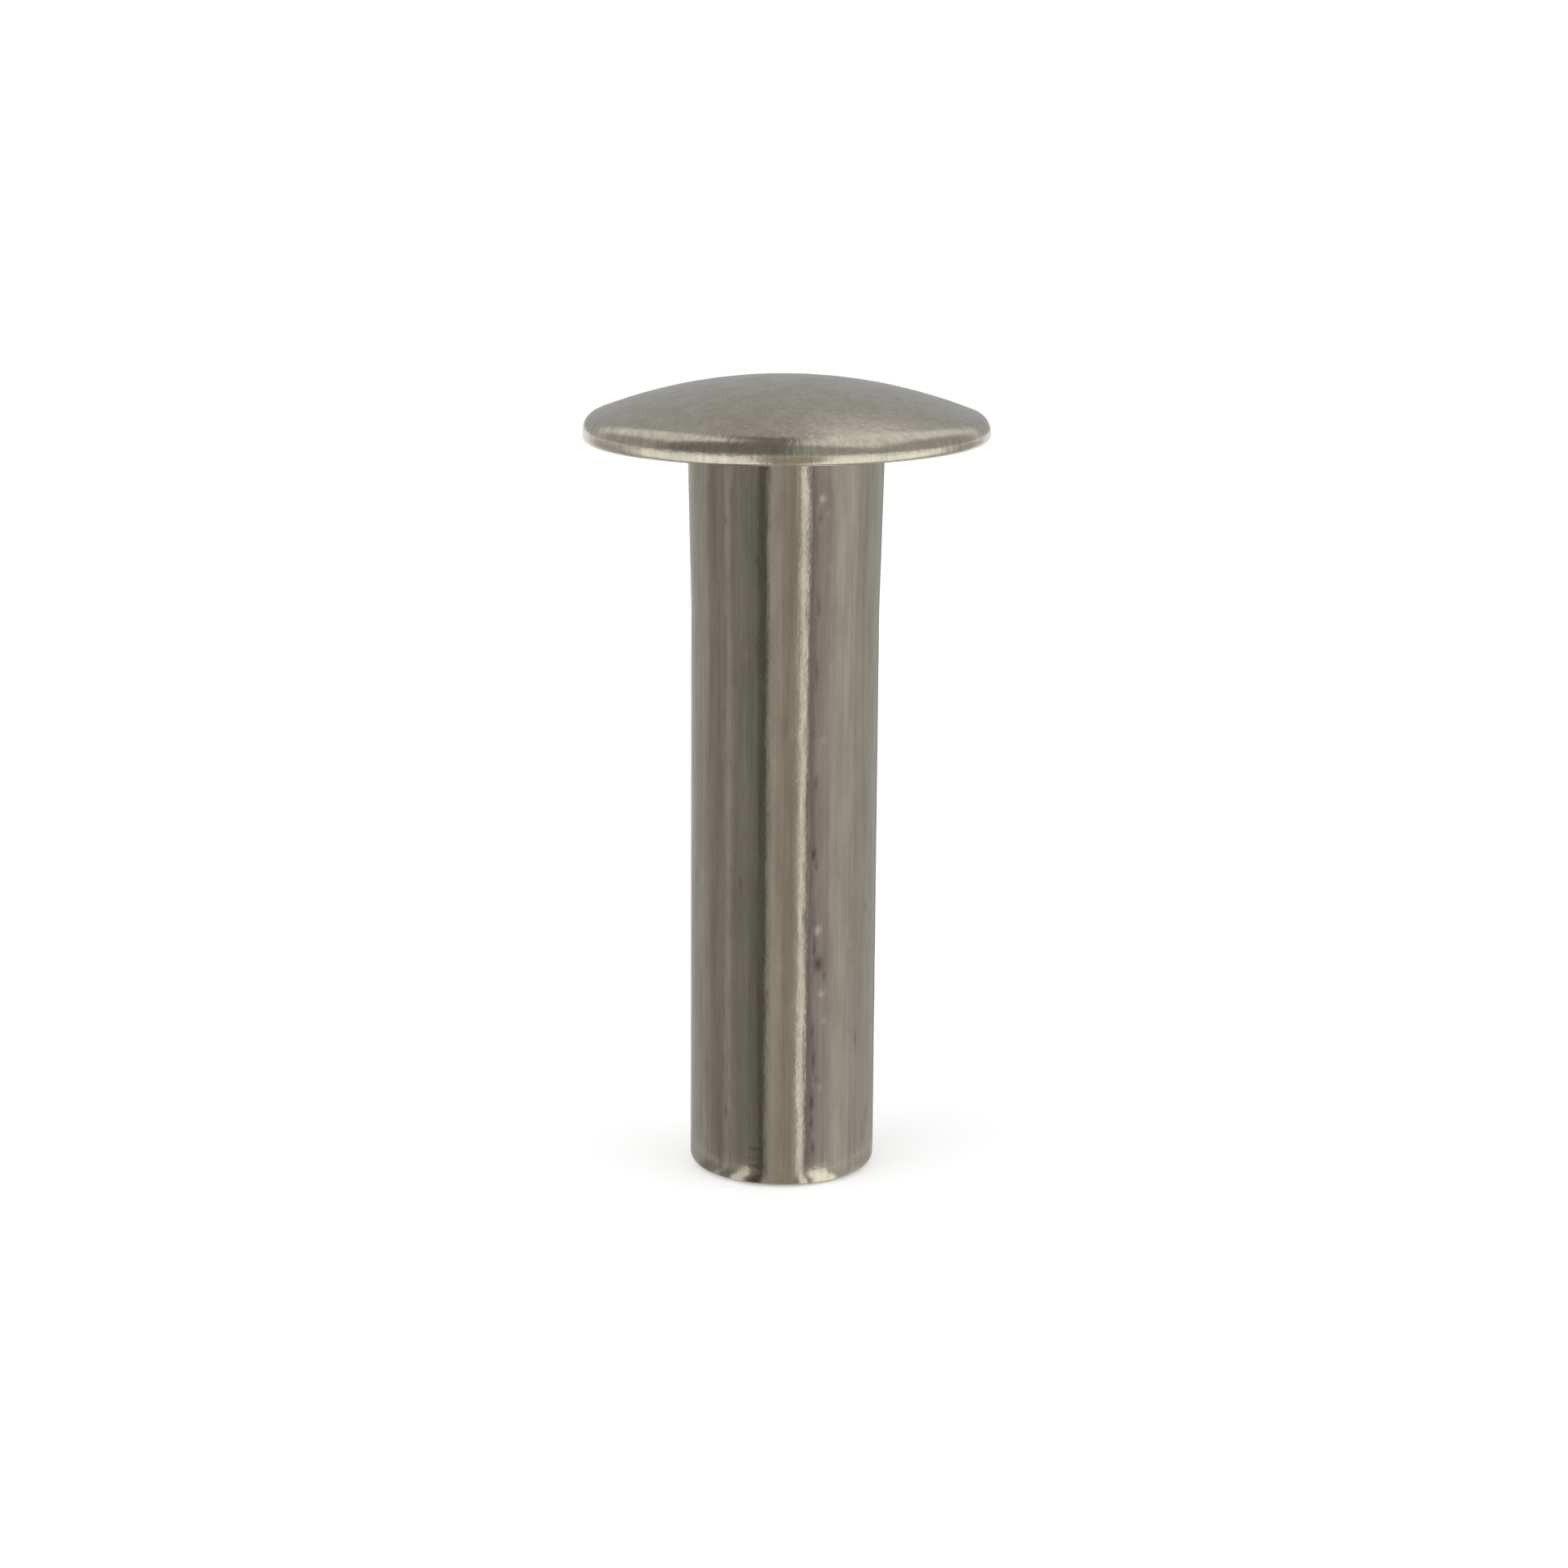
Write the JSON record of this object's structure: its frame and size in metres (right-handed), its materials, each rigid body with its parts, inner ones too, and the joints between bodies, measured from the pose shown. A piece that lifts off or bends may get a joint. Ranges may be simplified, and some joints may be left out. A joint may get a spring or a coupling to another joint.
{
  "type": "hollow rivet",
  "caption": "Domed-head hollow rivet: closed shallow head on a tubular shank whose open end is rolled over to clamp leather, sheet or lining.",
  "frame": {"origin": "centre of the flat ring at the open end of the shank, on the surface the rivet stands on", "axes": "+Z along the shank's axis from the open end to the head; the rivet is round, so X and Y may be swapped"},
  "size_m": [0.0086, 0.0086, 0.0172],
  "materials": {
    "nickel_plated_steel": "dull nickel plate over drawn and cold-headed steel, satin, slightly pitted"
  },
  "bodies": {
    "root": {"rivet": "nickel_plated_steel"}
  },
  "joints": []
}
